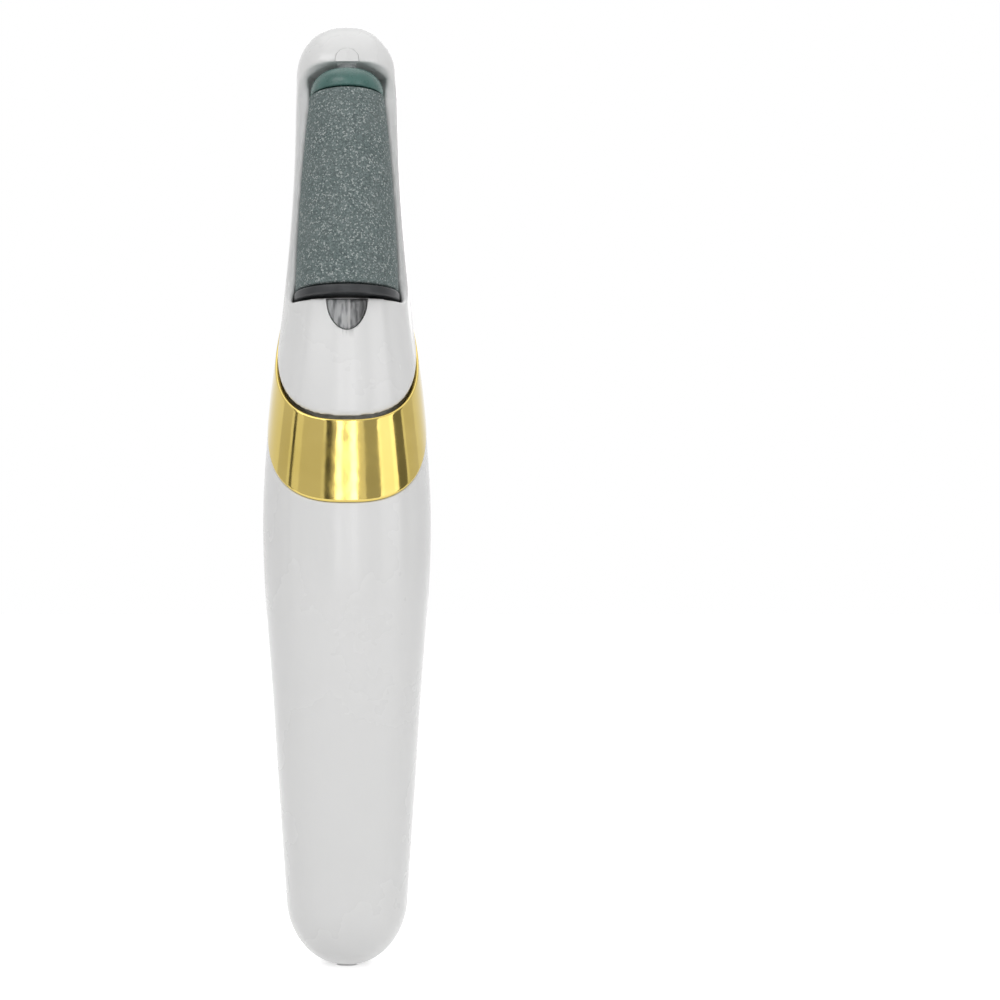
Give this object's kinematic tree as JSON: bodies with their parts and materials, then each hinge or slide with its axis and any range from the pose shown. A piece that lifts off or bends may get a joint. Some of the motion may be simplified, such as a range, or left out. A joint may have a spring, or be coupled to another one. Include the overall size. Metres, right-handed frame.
{
  "type": "electric callus remover",
  "caption": "Slim hand-held callus remover: tapered handle with slide switch, slanted plated ring, and a hood holding a motor-driven abrasive roller with a lamp window.",
  "frame": {"origin": "the small flat at the lowest point of the handle's rounded end, on the body's centre line", "axes": "+Z along the handle to the roller end, the roller faces -Y, the switch faces +Y"},
  "size_m": [0.0314, 0.0287, 0.1774],
  "materials": {
    "white_shell": "glossy white moulded plastic",
    "gold_plating": "mirror gold plating",
    "pale_gold_plating": "satin pale gold plating",
    "grit": "coarse grey-green mineral grit",
    "green_plastic": "dark green, satin",
    "dark_plastic": "near black, satin",
    "grey_plastic": "mid grey, satin",
    "clear_window": "clear",
    "circuit_board": "green solder mask",
    "seal_rubber": "black",
    "cell_wrap": "blue wrap",
    "copper_lead": "copper",
    "brass": "turned",
    "steel": "plain"
  },
  "bodies": {
    "root": {"battery_cell": "cell_wrap", "battery_cradle": "grey_plastic", "battery_tab_low": "steel", "battery_tab_top": "steel", "cell_lead_low": "copper_lead", "cell_lead_top": "copper_lead", "charge_board": "circuit_board", "charge_socket": "steel", "gear_axle": "steel", "gear_plate_low": "steel", "gear_plate_top": "steel", "gear_post_1": "brass", "gear_post_2": "brass", "gear_post_3": "brass", "gold_band": "gold_plating", "handle_back": "white_shell", "handle_front": "white_shell", "head_housing": "white_shell", "led_board": "circuit_board", "led_chip": "clear_window", "led_lens": "clear_window", "lower_bush": "brass", "main_board": "circuit_board", "motor_can": "steel", "motor_end_cap": "dark_plastic", "motor_lead_1": "copper_lead", "motor_lead_2": "copper_lead", "motor_screw_1": "steel", "motor_screw_2": "steel", "motor_terminal_1": "brass", "motor_terminal_2": "brass", "neck_ring": "grey_plastic", "pin_seat": "white_shell", "post_screw_1": "steel", "post_screw_2": "steel", "post_screw_3": "steel", "shaft_seal": "seal_rubber", "slide_switch": "steel", "spindle_bush": "brass"},
    "roller_pin": {"roller_pin": "grey_plastic"},
    "roller": {"roller_sleeve": "grit", "roller_cap": "green_plastic", "roller_core": "dark_plastic", "pin_spring": "steel"},
    "spindle": {"spindle": "steel", "drive_dog": "steel", "output_gear": "brass"},
    "compound_gear": {"compound_gear": "grey_plastic"},
    "rotor": {"motor_shaft": "steel", "motor_pinion": "brass"},
    "switch": {"switch_slider": "pale_gold_plating", "switch_carrier": "grey_plastic", "switch_knob": "dark_plastic"}
  },
  "joints": [
    {"name": "roller_spin", "type": "hinge", "parent": "root", "child": "roller_pin", "pos_m": [0, -0.004, 0.123], "axis": [0, 0.0523, 0.9986], "continuous": true},
    {"name": "roller_lift", "type": "slide", "parent": "roller_pin", "child": "roller", "axis": [0, 0.0523, 0.9986], "range_m": [0, 0.0012], "stiffness_N_per_m": 400, "springref_m": -0.002, "deforming": ["pin_spring"]},
    {"name": "spindle_spin", "type": "hinge", "parent": "root", "child": "spindle", "pos_m": [0, -0.004, 0.123], "axis": [0, 0.0523, 0.9986], "continuous": true},
    {"name": "compound_gear_spin", "type": "hinge", "parent": "root", "child": "compound_gear", "pos_m": [0.00533, -0.00125, 0.12286], "axis": [0, 0.0523, 0.9986], "continuous": true},
    {"name": "motor_spin", "type": "hinge", "parent": "root", "child": "rotor", "pos_m": [0, 0.00149, 0.12271], "axis": [0, 0.0523, 0.9986], "continuous": true},
    {"name": "switch_slide", "type": "slide", "parent": "root", "child": "switch", "axis": [0, 0, 1], "range_m": [0, 0.006]}
  ],
  "couplings": [
    {"joint": "spindle_spin", "follows": "roller_spin", "ratio": 1},
    {"joint": "compound_gear_spin", "follows": "roller_spin", "ratio": -1.1818},
    {"joint": "motor_spin", "follows": "roller_spin", "ratio": 1.6545}
  ]
}
